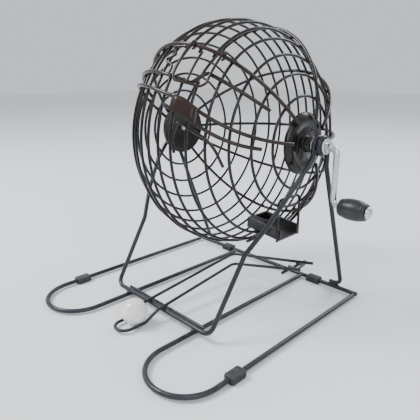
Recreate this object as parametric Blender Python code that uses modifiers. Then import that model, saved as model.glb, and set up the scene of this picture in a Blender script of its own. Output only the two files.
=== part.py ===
"""Bingo cage: a wire drum turned by a crank in a bent-wire stand, with a ball runway.

Units are metres, +Z is up and the stand rests on Z = 0. The axle runs along X with the
crank at +X, and balls roll out towards -Y. Points of the stand are written in the cage
frame, whose Z axis passes through the middle of the drum. Points of the drum are written
from the middle of its axle. The empty "cage_origin" shifts the cage frame, so that the
world origin is at the bottom centre of the whole object.
"""
import math

import bmesh
import bpy
from mathutils import Matrix, Vector

# ---- drum -------------------------------------------------------------------------
DRUM_RADIUS = 0.100
DRUM_HALF_LENGTH = 0.080
AXLE_HEIGHT = 0.149
HOOP_WIRE = 0.0012
RIB_WIRE = 0.0015
HOOP_STATIONS = (0.0, 0.011, 0.022, 0.0335, 0.0455, 0.0575, 0.067, 0.074)
HOOP_SIDES = 32
REAR_RIB_ANGLES = (112, 146, 180, 208, 236)
RIB_END_ANGLE = 78
RIB_STEPS = 22
FIT_GAP = 0.0004
TOUCH_GAP = 0.0003

# ---- loading hatch and ball selector on the drum ------------------------------------
HATCH_STATIONS = (0.022, 0.0335)
HATCH_ANGLES = (33, 47)
HATCH_RAIL_ANGLE = 49
DOOR_WIRE = 0.0010
DOOR_ARMS = (0.0165, 0.0395)
DOOR_FREE_ANGLE = 29.5
CHANNEL_BEND_X = 0.030
PLATE_X = 0.0305
PLATE_LENGTH = 0.018
PLATE_SHEET = 0.0012
SCOOP_WIRE = 0.0012
MOUTH_STATIONS = (0.0455, 0.0575)
MOUTH_HALF_WIDTH = 0.0150
MOUTH_RAIL_X = (0.0310, 0.0690)
MOUTH_RAIL_WIRE = 0.0013
TRAY_CENTRE = Vector((0.0470, 0.0, -0.0782))
TRAY_SIZE = Vector((0.0380, 0.0270, 0.0105))
TRAY_WALL = 0.0018
TRAY_SLOPE = 7
STIRRUP_X = 0.0642
STIRRUP_Z = (-0.0855, -0.0480)

# ---- shaft, hubs, crank ---------------------------------------------------------------
SHAFT_RADIUS = 0.0025
HUB_RADIUS = 0.0255
HUB_FACE_X = 0.0788
HUB_THICKNESS = 0.0026
BOSS_RADIUS = 0.0065
BOSS_LENGTH = 0.0070
BUSH_CLEARANCE = 0.0001
AXLE_STUB_END_X = 0.1025
RING_X = (-0.1006, 0.0990)
RING_WIDTH = 0.0016
RING_RADIUS = 0.0052
CRANK_X = 0.1070
CRANK_THROW = 0.046
CRANK_END_X = 0.140
KNOB_RADIUS = 0.0085
KNOB_LENGTH = 0.0225
KNOB_CLEARANCE = 0.0003
CAP_LENGTH = 0.0035

# ---- stand ----------------------------------------------------------------------------
STAND_WIRE = 0.0020
TRACK_WIRE = 0.00135
BASE_Z = 0.0032
OUTER_RAIL_X = 0.106
INNER_RAIL_X = 0.046
REAR_BAR_Y = 0.0545
LOOP_FRONT_Y = -0.160
CROSSBAR_Y = -0.0965
CROSSBAR_X = 0.064
FRONT_EYE_X = 0.0900
REAR_EYE_X = 0.0945
EYE_RADIUS = 0.0066
BUSH_GAP = 0.0004
BUSH_FLANGE = (0.0014, 0.0062)
FOOT_SIZE = (0.014, 0.0100, 0.0064)
FRONT_FOOT_Y = -0.112
REAR_FOOT_X = 0.060

# ---- ball runway ------------------------------------------------------------------------
BALL_RADIUS = 0.011
TRACK_HALF_WIDTH = 0.0095
TRACK_LANE_X = -0.0020
TRACK_END = (0.0860, 0.0425)
TRACK_CORNER_Z = (0.0235, 0.0225)
TRACK_LIP_Z = 0.0105
CRADLE_HALF_WIDTH = 0.0085
CRADLE_Y = (-0.1160, -0.1300)
CRADLE_Z = BASE_Z
BALL_Y = -0.1210
SUPPORT_X = 0.0700

RIB_LIFT = HOOP_WIRE + FIT_GAP + RIB_WIRE
DRUM_REAR_Y = DRUM_RADIUS + RIB_LIFT + RIB_WIRE
ORIGIN_SHIFT = Vector((
    (OUTER_RAIL_X + FOOT_SIZE[1] / 2 - CRANK_END_X) / 2,
    (-LOOP_FRONT_Y + STAND_WIRE - DRUM_REAR_Y) / 2,
    0.0,
))


def clear_scene():
    for obj in list(bpy.data.objects):
        bpy.data.objects.remove(obj, do_unlink=True)


def new_collection(name):
    collection = bpy.data.collections.new(name)
    bpy.context.scene.collection.children.link(collection)
    return collection


clear_scene()
CAGE = new_collection("bingo_cage")
CUTTERS = new_collection("cutters")


def material(name, colour, roughness, metallic):
    mat = bpy.data.materials.new(name)
    mat.use_nodes = True
    shader = mat.node_tree.nodes["Principled BSDF"]
    shader.inputs["Base Color"].default_value = (*colour, 1.0)
    shader.inputs["Roughness"].default_value = roughness
    shader.inputs["Metallic"].default_value = metallic
    return mat


ENAMEL = dict(colour=(0.028, 0.022, 0.021), roughness=0.28, metallic=0.1)
STAND_ENAMEL = dict(colour=(0.045, 0.050, 0.060), roughness=0.32, metallic=0.1)
STEEL = dict(colour=(0.55, 0.56, 0.58), roughness=0.3, metallic=1.0)
BLACK_PLASTIC = dict(colour=(0.015, 0.015, 0.017), roughness=0.4, metallic=0.0)
NYLON = dict(colour=(0.60, 0.59, 0.55), roughness=0.5, metallic=0.0)
RUBBER = dict(colour=(0.020, 0.020, 0.022), roughness=0.75, metallic=0.0)
BALL_WHITE = dict(colour=(0.82, 0.82, 0.80), roughness=0.25, metallic=0.0)


def empty(name, location, parent=None):
    obj = bpy.data.objects.new(name, None)
    obj.empty_display_size = 0.02
    obj.location = location
    obj.parent = parent
    CAGE.objects.link(obj)
    return obj


ORIGIN = empty("cage_origin", ORIGIN_SHIFT)
AXLE_CENTRE = Vector((0.0, 0.0, AXLE_HEIGHT))
DRUM = empty("drum_axis", AXLE_CENTRE, ORIGIN)


def add_object(name, data, finish, parent, location=(0, 0, 0)):
    obj = bpy.data.objects.new(name, data)
    obj.location = location
    obj.parent = parent
    data.materials.append(material(name + "_finish", **finish))
    CAGE.objects.link(obj)
    return obj


# ---- shaping tools --------------------------------------------------------------------
def wire(name, points, radius, finish, parent, origin=(0, 0, 0), closed=False, resolution=1):
    """A round wire along the points, which are given in the parent's frame."""
    curve = bpy.data.curves.new(name, "CURVE")
    curve.dimensions = "3D"
    curve.bevel_depth = radius
    curve.bevel_resolution = resolution
    curve.use_fill_caps = True
    spline = curve.splines.new("POLY")
    spline.points.add(len(points) - 1)
    for slot, point in zip(spline.points, points):
        slot.co = (*(Vector(point) - Vector(origin)), 1.0)
    spline.use_cyclic_u = closed
    return add_object(name, curve, finish, parent, origin)


def bent_path(corners, bend_radius, steps=5):
    """Straight runs between the corners, with a round bend at each inner corner."""
    points = [Vector(corners[0])]
    for before, corner, after in zip(corners, corners[1:], corners[2:]):
        corner = Vector(corner)
        incoming = (corner - Vector(before)).normalized()
        outgoing = (Vector(after) - corner).normalized()
        turn = incoming.angle(outgoing)
        reach = bend_radius * math.tan(turn / 2)
        centre = corner + (outgoing - incoming).normalized() * (bend_radius / math.cos(turn / 2))
        start = corner - incoming * reach - centre
        axis = incoming.cross(outgoing)
        for step in range(steps + 1):
            points.append(centre + Matrix.Rotation(turn * step / steps, 3, axis) @ start)
    points.append(Vector(corners[-1]))
    return points


def smooth_path(knots, steps):
    """A Catmull-Rom curve through the knots."""
    knots = [Vector(knot) for knot in knots]
    padded = [2 * knots[0] - knots[1]] + knots + [2 * knots[-1] - knots[-2]]
    points = []
    for a, b, c, d in zip(padded, padded[1:], padded[2:], padded[3:]):
        for step in range(steps):
            t = step / steps
            points.append(0.5 * (2 * b + (c - a) * t + (2 * a - 5 * b + 4 * c - d) * t ** 2
                                 + (3 * b - a - 3 * c + d) * t ** 3))
    points.append(knots[-1])
    return points


def arc_yz(x, radius, start_angle, end_angle, steps, centre=(0.0, 0.0)):
    """Points on a circle about the X direction. Angle 0 is -Y and angle 90 is +Z."""
    points = []
    for step in range(steps + 1):
        angle = math.radians(start_angle + (end_angle - start_angle) * step / steps)
        points.append(Vector((x, centre[0] - radius * math.cos(angle),
                              centre[1] + radius * math.sin(angle))))
    return points


def shell_point(x, angle, lift):
    """A point over the drum's shell, the given height out along the shell's normal."""
    slope = math.asin(max(-1.0, min(1.0, x / DRUM_HALF_LENGTH)))
    normal = Vector((math.sin(slope) / DRUM_HALF_LENGTH, math.cos(slope) / DRUM_RADIUS)).normalized()
    radial = DRUM_RADIUS * math.cos(slope) + lift * normal.y
    turn = math.radians(angle)
    return Vector((x + lift * normal.x, -radial * math.cos(turn), radial * math.sin(turn)))


def shell_radius(x):
    return DRUM_RADIUS * math.sqrt(1 - (x / DRUM_HALF_LENGTH) ** 2)


def turned(name, profile, finish, parent, location=(0, 0, 0), steps=20):
    """A solid turned about X. The profile is a closed loop of (x, radius) points."""
    mesh = bpy.data.meshes.new(name)
    shape = bmesh.new()
    pairs = list(zip(profile, profile[1:] + profile[:1]))
    if sum(x1 * r2 - x2 * r1 for (x1, r1), (x2, r2) in pairs) < 0:
        profile = profile[::-1]
        pairs = list(zip(profile, profile[1:] + profile[:1]))
    loop = [shape.verts.new((x, 0.0, radius)) for x, radius in profile]
    for index, (first, second) in enumerate(pairs):
        if first[1] > 0 or second[1] > 0:
            shape.edges.new((loop[index], loop[(index + 1) % len(loop)]))
    shape.to_mesh(mesh)
    shape.free()
    obj = add_object(name, mesh, finish, parent, location)
    screw = obj.modifiers.new("turn", "SCREW")
    screw.axis = "X"
    screw.steps = steps
    screw.render_steps = steps
    screw.use_merge_vertices = True
    screw.merge_threshold = 0.00001
    screw.use_smooth_shade = True
    return obj


def box_mesh(name, low, high):
    mesh = bpy.data.meshes.new(name)
    shape = bmesh.new()
    size = Vector(high) - Vector(low)
    middle = (Vector(high) + Vector(low)) / 2
    place = Matrix.Translation(middle) @ Matrix.Diagonal((*size, 1.0))
    bmesh.ops.create_cube(shape, size=1.0, matrix=place)
    shape.to_mesh(mesh)
    shape.free()
    return mesh


def cut(obj, cutter_name, cutter_mesh):
    """Cuts a hidden tool shape, given in the object's own frame, out of the object."""
    cutter = bpy.data.objects.new(cutter_name, cutter_mesh)
    cutter.parent = obj
    cutter.hide_render = True
    cutter.display_type = "WIRE"
    CUTTERS.objects.link(cutter)
    boolean = obj.modifiers.new(cutter_name, "BOOLEAN")
    boolean.operation = "DIFFERENCE"
    boolean.solver = "EXACT"
    boolean.object = cutter


def bevel(obj, width, segments=2):
    modifier = obj.modifiers.new("rounded_edges", "BEVEL")
    modifier.width = width
    modifier.segments = segments
    modifier.limit_method = "ANGLE"
    return modifier


# ---- drum shell: hoops and ribs -----------------------------------------------------------
def hoop_steps(radius, sweep):
    return max(6, round(HOOP_SIDES * (0.35 + 0.65 * radius / DRUM_RADIUS) * sweep / 360))


def add_hoop(name, x):
    """A round hoop, left open where the hatch or the selector's mouth is cut through it."""
    radius = shell_radius(x)
    if x in HATCH_STATIONS:
        start, sweep = HATCH_ANGLES[1], 360 - (HATCH_ANGLES[1] - HATCH_ANGLES[0])
    elif x in MOUTH_STATIONS:
        half_mouth = math.degrees(math.asin(MOUTH_HALF_WIDTH / radius))
        start, sweep = -90 + half_mouth, 360 - 2 * half_mouth
    else:
        start, sweep = 0, 360
    points = arc_yz(x, radius, start, start + sweep, hoop_steps(radius, sweep))
    if sweep == 360:
        wire(name, points[:-1], HOOP_WIRE, ENAMEL, DRUM, closed=True)
    else:
        wire(name, points, HOOP_WIRE, ENAMEL, DRUM)


def make_hoops():
    stations = sorted({sign * x for x in HOOP_STATIONS for sign in (-1, 1)})
    for number, x in enumerate(stations, start=1):
        add_hoop(f"hoop_{number:02d}", x)


def rib_points(angle_at, from_x, to_x, steps):
    """Points of a rib outside the hoops, evenly spaced along the curve of the shell."""
    start = math.asin(from_x / DRUM_HALF_LENGTH)
    end = math.asin(to_x / DRUM_HALF_LENGTH)
    points = []
    for step in range(steps + 1):
        x = DRUM_HALF_LENGTH * math.sin(start + (end - start) * step / steps)
        points.append(shell_point(x, angle_at(x), RIB_LIFT))
    return points


def make_ribs():
    reach = DRUM_HALF_LENGTH * math.sin(math.radians(RIB_END_ANGLE))
    for number, angle in enumerate(REAR_RIB_ANGLES, start=1):
        wire(f"rib_{number}", rib_points(lambda x, a=angle: a, -reach, reach, RIB_STEPS),
             RIB_WIRE, ENAMEL, DRUM)
    wire("hatch_rail_upper", rib_points(lambda x: HATCH_RAIL_ANGLE, -reach, reach, RIB_STEPS),
         RIB_WIRE, ENAMEL, DRUM)
    wire("hatch_rail_lower", rib_points(hatch_lower_angle, -0.068, 0.070, RIB_STEPS + 10),
         RIB_WIRE, ENAMEL, DRUM)
    wire("channel_rail_upper", rib_points(channel_upper_angle, -reach, reach, RIB_STEPS),
         RIB_WIRE, ENAMEL, DRUM)
    wire("channel_rail_lower", rib_points(channel_lower_angle, 0.014, 0.070, 12),
         RIB_WIRE, ENAMEL, DRUM)


def hatch_lower_angle(x):
    """The rail below the hatch, which jogs upwards beside the hatch's near end."""
    jog = min(1.0, max(0.0, (x - 0.029) / 0.009))
    return 33.0 - 80 * x + 7.5 * jog * jog * (3 - 2 * jog)


def channel_upper_angle(x):
    return 25.5 - 110 * x - 215 * max(0.0, x - CHANNEL_BEND_X)


def channel_lower_angle(x):
    return 21.5 - 165 * x - 225 * max(0.0, x - CHANNEL_BEND_X)


# ---- hatch door -------------------------------------------------------------------------
DOOR_LIFT = HOOP_WIRE + 2 * RIB_WIRE + 2 * FIT_GAP + DOOR_WIRE
HINGE_POINTS = [shell_point(x, HATCH_RAIL_ANGLE, RIB_LIFT) for x in DOOR_ARMS]
HINGE_CENTRE = (HINGE_POINTS[0] + HINGE_POINTS[1]) / 2
HINGE_AXIS = (HINGE_POINTS[1] - HINGE_POINTS[0]).normalized()
DOOR = empty("hatch_hinge_axis", HINGE_CENTRE, DRUM)


def door_arm(x, centre):
    """One arm of the door: its eye about the hinge rail and the run down to the free edge."""
    out = (shell_point(x, HATCH_RAIL_ANGLE, 0.01) - shell_point(x, HATCH_RAIL_ANGLE, 0.0)).normalized()
    out = (out - HINGE_AXIS * out.dot(HINGE_AXIS)).normalized()
    down = HINGE_AXIS.cross(out)
    if down.z > 0:
        down = -down
    radius = RIB_WIRE + DOOR_WIRE + FIT_GAP
    eye = []
    for step in range(8):
        angle = math.radians(-150 + 240 * step / 7)
        eye.append(centre + radius * (math.cos(angle) * -down + math.sin(angle) * out))
    run = [shell_point(x, angle, DOOR_LIFT) for angle in (44.5, 40, 36, DOOR_FREE_ANGLE + 2.5)]
    return eye + run


def make_door():
    near, far = (door_arm(x, centre) for x, centre in zip(DOOR_ARMS, HINGE_POINTS))
    edge = [shell_point(x, DOOR_FREE_ANGLE, DOOR_LIFT)
            for x in (DOOR_ARMS[0] + 0.003, 0.024, 0.032, DOOR_ARMS[1] - 0.003)]
    frame = near + edge + far[::-1]
    wire("hatch_door_frame", [point - HINGE_CENTRE for point in frame], DOOR_WIRE, ENAMEL, DOOR)
    middle = sum(DOOR_ARMS) / 2
    bar = [shell_point(middle, angle, DOOR_LIFT) for angle in (45.5, 42, 38.5, 35, DOOR_FREE_ANGLE + 1.6)]
    wire("hatch_door_bar", [point - HINGE_CENTRE for point in bar], DOOR_WIRE, ENAMEL, DOOR)
    knots = [(0.0145, 46.0), (0.006, 44.5), (0.0105, 41.0), (0.005, 38.0), (0.0125, 35.5), (0.0128, 31.0)]
    clip = [shell_point(x, angle, DOOR_LIFT + 0.0002) for x, angle in knots]
    clip = smooth_path(clip, 4)
    wire("hatch_latch_spring", [point - HINGE_CENTRE for point in clip], DOOR_WIRE, ENAMEL, DOOR)


# ---- ball selector ----------------------------------------------------------------------
def make_gate_plate():
    """A small curved plate that joins the two channel rails."""
    mesh = bpy.data.meshes.new("gate_plate")
    shape = bmesh.new()
    bmesh.ops.create_grid(shape, x_segments=5, y_segments=4, size=0.5)
    inside = HOOP_WIRE + 2 * RIB_WIRE + 2 * FIT_GAP
    for vert in shape.verts:
        x = PLATE_X + PLATE_LENGTH * vert.co.x
        low, high = channel_lower_angle(x) - 1.0, channel_upper_angle(x) + 1.0
        vert.co = shell_point(x, low + (high - low) * (vert.co.y + 0.5), inside + TOUCH_GAP)
    bmesh.ops.recalc_face_normals(shape, faces=shape.faces)
    shape.to_mesh(mesh)
    shape.free()
    mesh.shade_smooth()
    plate = add_object("gate_plate", mesh, ENAMEL, DRUM)
    solid = plate.modifiers.new("sheet", "SOLIDIFY")
    solid.thickness = PLATE_SHEET
    solid.offset = 1.0
    bevel(plate, 0.0003, 1)


def make_scoop():
    """A bent wire over the hoops below the gate plate, which picks one ball up."""
    lift = HOOP_WIRE + FIT_GAP + SCOOP_WIRE
    knots = [(0.0262, -1.0), (0.0250, 6.0), (0.0285, 12.5), (0.0380, 9.5), (0.0455, 6.5), (0.0510, 0.5),
             (0.0545, -9.0)]
    spine = smooth_path([(x, angle / 1000, 0.0) for x, angle in knots], 4)
    wire("scoop_wire", [shell_point(p.x, p.y * 1000, lift) for p in spine], SCOOP_WIRE, ENAMEL, DRUM)


def make_mouth_rails():
    """Two wires along the sides of the mouth, where two hoops are cut at the bottom."""
    for name, side in (("mouth_rail_front", 1), ("mouth_rail_rear", -1)):
        points = []
        for step in range(9):
            x = MOUTH_RAIL_X[0] + (MOUTH_RAIL_X[1] - MOUTH_RAIL_X[0]) * step / 8
            aside = MOUTH_HALF_WIDTH + MOUTH_RAIL_WIRE + 0.0019
            half = math.degrees(math.asin(aside / shell_radius(x)))
            points.append(shell_point(x, -90 + side * half, RIB_LIFT))
        wire(name, points, MOUTH_RAIL_WIRE, ENAMEL, DRUM)


def make_tray():
    """A sloping channel through the mouth, closed at its inner end and open at its outer end."""
    half = TRAY_SIZE / 2
    block = box_mesh("selector_tray", -half, half)
    tray = add_object("selector_tray", block, BLACK_PLASTIC, DRUM, TRAY_CENTRE)
    tray.rotation_euler.y = math.radians(TRAY_SLOPE)
    bevel(tray, 0.0012)
    cut(tray, "tray_hollow", box_mesh(
        "tray_hollow", (-half.x + TRAY_WALL, -half.y + TRAY_WALL, -half.z + TRAY_WALL),
        (half.x + 0.01, half.y - TRAY_WALL, half.z + 0.01)))


def make_stirrup():
    """A wire hung inside the last but one hoop, which carries the tray's outer end."""
    side = TRAY_SIZE.y / 2 + FIT_GAP + HOOP_WIRE
    foot, top = STIRRUP_Z
    corners = [(STIRRUP_X, -side, foot), (STIRRUP_X, -side, top),
               (STIRRUP_X, side, top), (STIRRUP_X, side, foot)]
    wire("tray_stirrup", bent_path(corners, 0.005, 4), HOOP_WIRE, ENAMEL, DRUM)


# ---- hubs, shaft ends and crank --------------------------------------------------------
def make_hub(name, side):
    """A dished end plate with a boss. Its hole takes the shaft end."""
    hole = SHAFT_RADIUS + BUSH_CLEARANCE
    inner = HUB_FACE_X - HUB_THICKNESS
    boss = HUB_FACE_X + BOSS_LENGTH
    dish, rim = 0.002, HUB_RADIUS - 0.004
    profile = [(inner, hole), (inner, rim), (inner - dish, HUB_RADIUS), (HUB_FACE_X - dish, HUB_RADIUS),
               (HUB_FACE_X, rim), (HUB_FACE_X, BOSS_RADIUS), (boss, BOSS_RADIUS), (boss, hole)]
    turned(name, [(side * x, radius) for x, radius in profile], ENAMEL, DRUM, steps=24)


def make_shaft_ends():
    inner_end = HUB_FACE_X - HUB_THICKNESS - 0.003
    left = [(-inner_end, 0, 0), (-AXLE_STUB_END_X, 0, 0)]
    wire("axle_stub_left", left, SHAFT_RADIUS, STEEL, DRUM, resolution=4)
    crank = bent_path([(inner_end, 0, 0), (CRANK_X, 0, 0), (CRANK_X, 0, -CRANK_THROW),
                       (CRANK_END_X - 0.002, 0, -CRANK_THROW)], 0.006, 6)
    wire("crank_rod", crank, SHAFT_RADIUS, STEEL, DRUM, resolution=4)


def make_collars():
    """Push-on rings outside the bearings, and the cap that keeps the knob on the crank."""
    hole = SHAFT_RADIUS + BUSH_CLEARANCE
    for name, start in zip(("retaining_ring_left", "retaining_ring_right"), RING_X):
        end = start + RING_WIDTH
        profile = [(start, hole), (start, RING_RADIUS), (end, RING_RADIUS), (end, hole)]
        turned(name, profile, STEEL, DRUM)
    cap, middle = CRANK_END_X - CAP_LENGTH, CRANK_END_X - CAP_LENGTH / 2
    profile = [(cap, hole), (cap, 0.0048), (middle, 0.0046), (CRANK_END_X, 0.0024), (CRANK_END_X, 0.0)]
    profile += [(middle, 0.0), (middle, hole)]
    turned("knob_cap", profile, STEEL, DRUM, location=(0, 0, -CRANK_THROW))


def make_knob():
    """The crank's grip, a turned barrel that spins freely on the crank's pin."""
    hole = SHAFT_RADIUS + KNOB_CLEARANCE
    start = CRANK_END_X - CAP_LENGTH - 0.0005 - KNOB_LENGTH
    bulge = (0.0, 0.12, 0.3, 0.5, 0.7, 0.88, 1.0)
    outer = [(start + KNOB_LENGTH * t, KNOB_RADIUS * (0.74 + 0.26 * math.sin(math.pi * t) ** 0.7))
             for t in bulge]
    profile = [(start, hole)] + outer + [(start + KNOB_LENGTH, hole)]
    axis = empty("knob_axis", (0, 0, -CRANK_THROW), DRUM)
    turned("crank_knob", profile, BLACK_PLASTIC, axis, steps=20)


# ---- stand ------------------------------------------------------------------------------
def make_base():
    bend = (OUTER_RAIL_X - INNER_RAIL_X) / 2
    rail_end = REAR_BAR_Y - 2 * STAND_WIRE - FIT_GAP
    for name, side in (("base_loop_left", -1), ("base_loop_right", 1)):
        middle = side * (OUTER_RAIL_X + INNER_RAIL_X) / 2
        bow = []
        for step in range(13):
            angle = math.pi * step / 12
            bow.append(Vector((middle - side * bend * math.cos(angle),
                               LOOP_FRONT_Y + bend - bend * math.sin(angle), BASE_Z)))
        path = [Vector((side * INNER_RAIL_X, rail_end, BASE_Z))] + bow
        path.append(Vector((side * OUTER_RAIL_X, rail_end, BASE_Z)))
        wire(name, path, STAND_WIRE, STAND_ENAMEL, ORIGIN, resolution=2)
    reach = OUTER_RAIL_X + STAND_WIRE
    ends = [(-reach, REAR_BAR_Y, BASE_Z), (reach, REAR_BAR_Y, BASE_Z)]
    wire("rear_crossbar", ends, STAND_WIRE, STAND_ENAMEL, ORIGIN, resolution=2)


def eye_points(x, side):
    """An open eye about the bush. It starts on the leg's side and runs over the top."""
    ring = arc_yz(x, EYE_RADIUS, 0, 250, 12, centre=(0.0, AXLE_HEIGHT))
    return [Vector((p.x, side * p.y, p.z)) for p in ring]


CROSSBAR_Z = BASE_Z + 2 * STAND_WIRE + FIT_GAP
LEG_KNEE = (0.067, -0.060, 0.066)


def front_leg(side):
    """One front leg, from the crossbar's end up to its eye at the bush."""
    corners = [(CROSSBAR_X, CROSSBAR_Y, CROSSBAR_Z), LEG_KNEE, (0.078, -0.045, 0.090),
               (0.0865, -0.026, 0.118), (FRONT_EYE_X, -EYE_RADIUS, 0.139)]
    leg = bent_path(corners + [(FRONT_EYE_X, -EYE_RADIUS, AXLE_HEIGHT)], 0.012, 3)[1:-1]
    leg += eye_points(FRONT_EYE_X, 1)
    return [Vector((side * p.x, p.y, p.z)) for p in leg]


def make_front_frame():
    """The crossbar over the base loops and both front legs, bent from one wire."""
    corner = [(-0.048, CROSSBAR_Y, CROSSBAR_Z), (-CROSSBAR_X, CROSSBAR_Y, CROSSBAR_Z),
              (-LEG_KNEE[0], *LEG_KNEE[1:])]
    bend = bent_path(corner, 0.008, 4)[:-1]
    right_bend = [Vector((-p.x, p.y, p.z)) for p in bend]
    path = front_leg(-1)[::-1] + bend[::-1] + right_bend + front_leg(1)
    wire("front_frame", path, STAND_WIRE, STAND_ENAMEL, ORIGIN, resolution=2)


def make_rear_legs():
    foot = REAR_BAR_Y, BASE_Z + 2 * STAND_WIRE + FIT_GAP
    for name, side in (("rear_leg_left", -1), ("rear_leg_right", 1)):
        corners = [(0.078, *foot), (0.0905, *foot), (REAR_EYE_X, EYE_RADIUS, 0.132),
                   (REAR_EYE_X, EYE_RADIUS, AXLE_HEIGHT)]
        path = bent_path(corners, 0.008, 4)[:-1] + eye_points(REAR_EYE_X, -1)
        wire(name, [Vector((side * p.x, p.y, p.z)) for p in path], STAND_WIRE, STAND_ENAMEL, ORIGIN,
             resolution=2)


def make_bushes():
    """Flanged plastic bushes in the eyes, in which the shaft ends turn."""
    bore = SHAFT_RADIUS + BUSH_CLEARANCE
    sleeve = EYE_RADIUS - STAND_WIRE - TOUCH_GAP
    start, end = FRONT_EYE_X - STAND_WIRE - BUSH_GAP, REAR_EYE_X + STAND_WIRE + BUSH_GAP
    thickness, flange = BUSH_FLANGE
    for name, side in (("bearing_bush_left", -1), ("bearing_bush_right", 1)):
        profile = [(start - thickness, bore), (start - thickness, flange), (start, flange), (start, sleeve),
                   (end, sleeve), (end, flange), (end + thickness, flange), (end + thickness, bore)]
        turned(name, [(side * x, radius) for x, radius in profile], NYLON, ORIGIN, location=AXLE_CENTRE)


def make_feet():
    """Rubber feet round the base wire, with a flat underside on the table."""
    length, width, height = FOOT_SIZE
    places = {
        "foot_front_left": (-OUTER_RAIL_X, FRONT_FOOT_Y, True),
        "foot_front_right": (OUTER_RAIL_X, FRONT_FOOT_Y, True),
        "foot_rear_left": (-REAR_FOOT_X, REAR_BAR_Y, False),
        "foot_rear_right": (REAR_FOOT_X, REAR_BAR_Y, False),
    }
    for name, (x, y, along_y) in places.items():
        low = Vector((-length / 2, -width / 2, 0.0))
        high = Vector((length / 2, width / 2, height))
        foot = add_object(name, box_mesh(name, low, high), RUBBER, ORIGIN, (x, y, 0.0))
        foot.rotation_euler.z = math.pi / 2 if along_y else 0.0
        bevel(foot, 0.0012)
        hole = bpy.data.meshes.new(name + "_hole")
        shape = bmesh.new()
        bore = STAND_WIRE + TOUCH_GAP
        lie_flat = Matrix.Translation((0, 0, BASE_Z)) @ Matrix.Rotation(math.pi / 2, 4, "Y")
        bmesh.ops.create_cone(shape, cap_ends=True, segments=16, radius1=bore, radius2=bore,
                              depth=2 * length, matrix=lie_flat)
        shape.to_mesh(hole)
        shape.free()
        cut(foot, name + "_hole", hole)


# ---- ball runway ------------------------------------------------------------------------
def runway_side(side, corner_z):
    """One side of the track, from its outer end under the drum to the cradle."""
    end_x, end_z = TRACK_END
    lane = TRACK_LANE_X + side * TRACK_HALF_WIDTH
    cradle = TRACK_LANE_X + side * CRADLE_HALF_WIDTH
    corners = [(end_x, -side * TRACK_HALF_WIDTH, end_z), (lane, -side * TRACK_HALF_WIDTH, corner_z),
               (lane, CROSSBAR_Y - 0.007, TRACK_LIP_Z), (cradle, CRADLE_Y[0], CRADLE_Z),
               (cradle, CRADLE_Y[1], CRADLE_Z)]
    return bent_path(corners, 0.005, 4)


def make_runway():
    """One wire bent into a track: along under the drum, forward, and round the ball's cradle."""
    nose = []
    for step in range(1, 10):
        angle = math.pi * step / 10
        nose.append(Vector((TRACK_LANE_X + CRADLE_HALF_WIDTH * math.cos(angle),
                            CRADLE_Y[1] - CRADLE_HALF_WIDTH * math.sin(angle), CRADLE_Z)))
    path = runway_side(1, TRACK_CORNER_Z[0]) + nose + runway_side(-1, TRACK_CORNER_Z[1])[::-1]
    wire("runway_wire", path, TRACK_WIRE, STAND_ENAMEL, ORIGIN, resolution=2)


def track_z(x):
    """The height of the track's front side above the given place on its upper run."""
    end_x, end_z = TRACK_END
    corner_x = TRACK_LANE_X + TRACK_HALF_WIDTH
    return TRACK_CORNER_Z[0] + (end_z - TRACK_CORNER_Z[0]) * (x - corner_x) / (end_x - corner_x)


def make_runway_support():
    """An arm from the rear crossbar that carries the runway, and a tie over the base loops."""
    on_base = BASE_Z + STAND_WIRE + TRACK_WIRE + FIT_GAP
    under = track_z(SUPPORT_X) - 2 * TRACK_WIRE - FIT_GAP
    corners = [(0.028, REAR_BAR_Y, on_base), (0.040, REAR_BAR_Y, on_base), (0.062, 0.034, 0.027),
               (SUPPORT_X, 0.022, under), (SUPPORT_X, -0.014, under)]
    wire("runway_support", bent_path(corners, 0.005, 3), TRACK_WIRE, STAND_ENAMEL, ORIGIN, resolution=2)
    tie_end, tie_y = INNER_RAIL_X + 0.006, CROSSBAR_Y + 0.0055
    wire("front_tie_bar", [(-tie_end, tie_y, on_base), (tie_end, tie_y, on_base)], TRACK_WIRE, STAND_ENAMEL,
         ORIGIN, resolution=2)


def make_ball():
    """A drawn ball that lies in the runway's cradle."""
    mesh = bpy.data.meshes.new("drawn_ball")
    shape = bmesh.new()
    bmesh.ops.create_uvsphere(shape, u_segments=20, v_segments=12, radius=BALL_RADIUS)
    shape.to_mesh(mesh)
    shape.free()
    mesh.shade_smooth()
    rise = math.sqrt((BALL_RADIUS + TRACK_WIRE + TOUCH_GAP) ** 2 - CRADLE_HALF_WIDTH ** 2)
    add_object("drawn_ball", mesh, BALL_WHITE, ORIGIN, (TRACK_LANE_X, BALL_Y, CRADLE_Z + rise))


make_hoops()
make_ribs()
make_door()
make_gate_plate()
make_scoop()
make_mouth_rails()
make_tray()
make_stirrup()
make_hub("hub_left", -1)
make_hub("hub_right", 1)
make_shaft_ends()
make_collars()
make_knob()
make_base()
make_front_frame()
make_rear_legs()
make_bushes()
make_feet()
make_runway()
make_runway_support()
make_ball()
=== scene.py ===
"""The looks of the bingo cage: enamelled wire drum, hatch, selector, crank, stand and runway.

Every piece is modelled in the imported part's own frame, in metres. The drum's pieces are
written from the middle of its axle, and the stand's from the point on the table below it.
"""
from math import asin, copysign, cos, degrees, exp, pi, radians, sin, sqrt, tan

import bmesh
import bpy
from mathutils import Matrix, Vector


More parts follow.
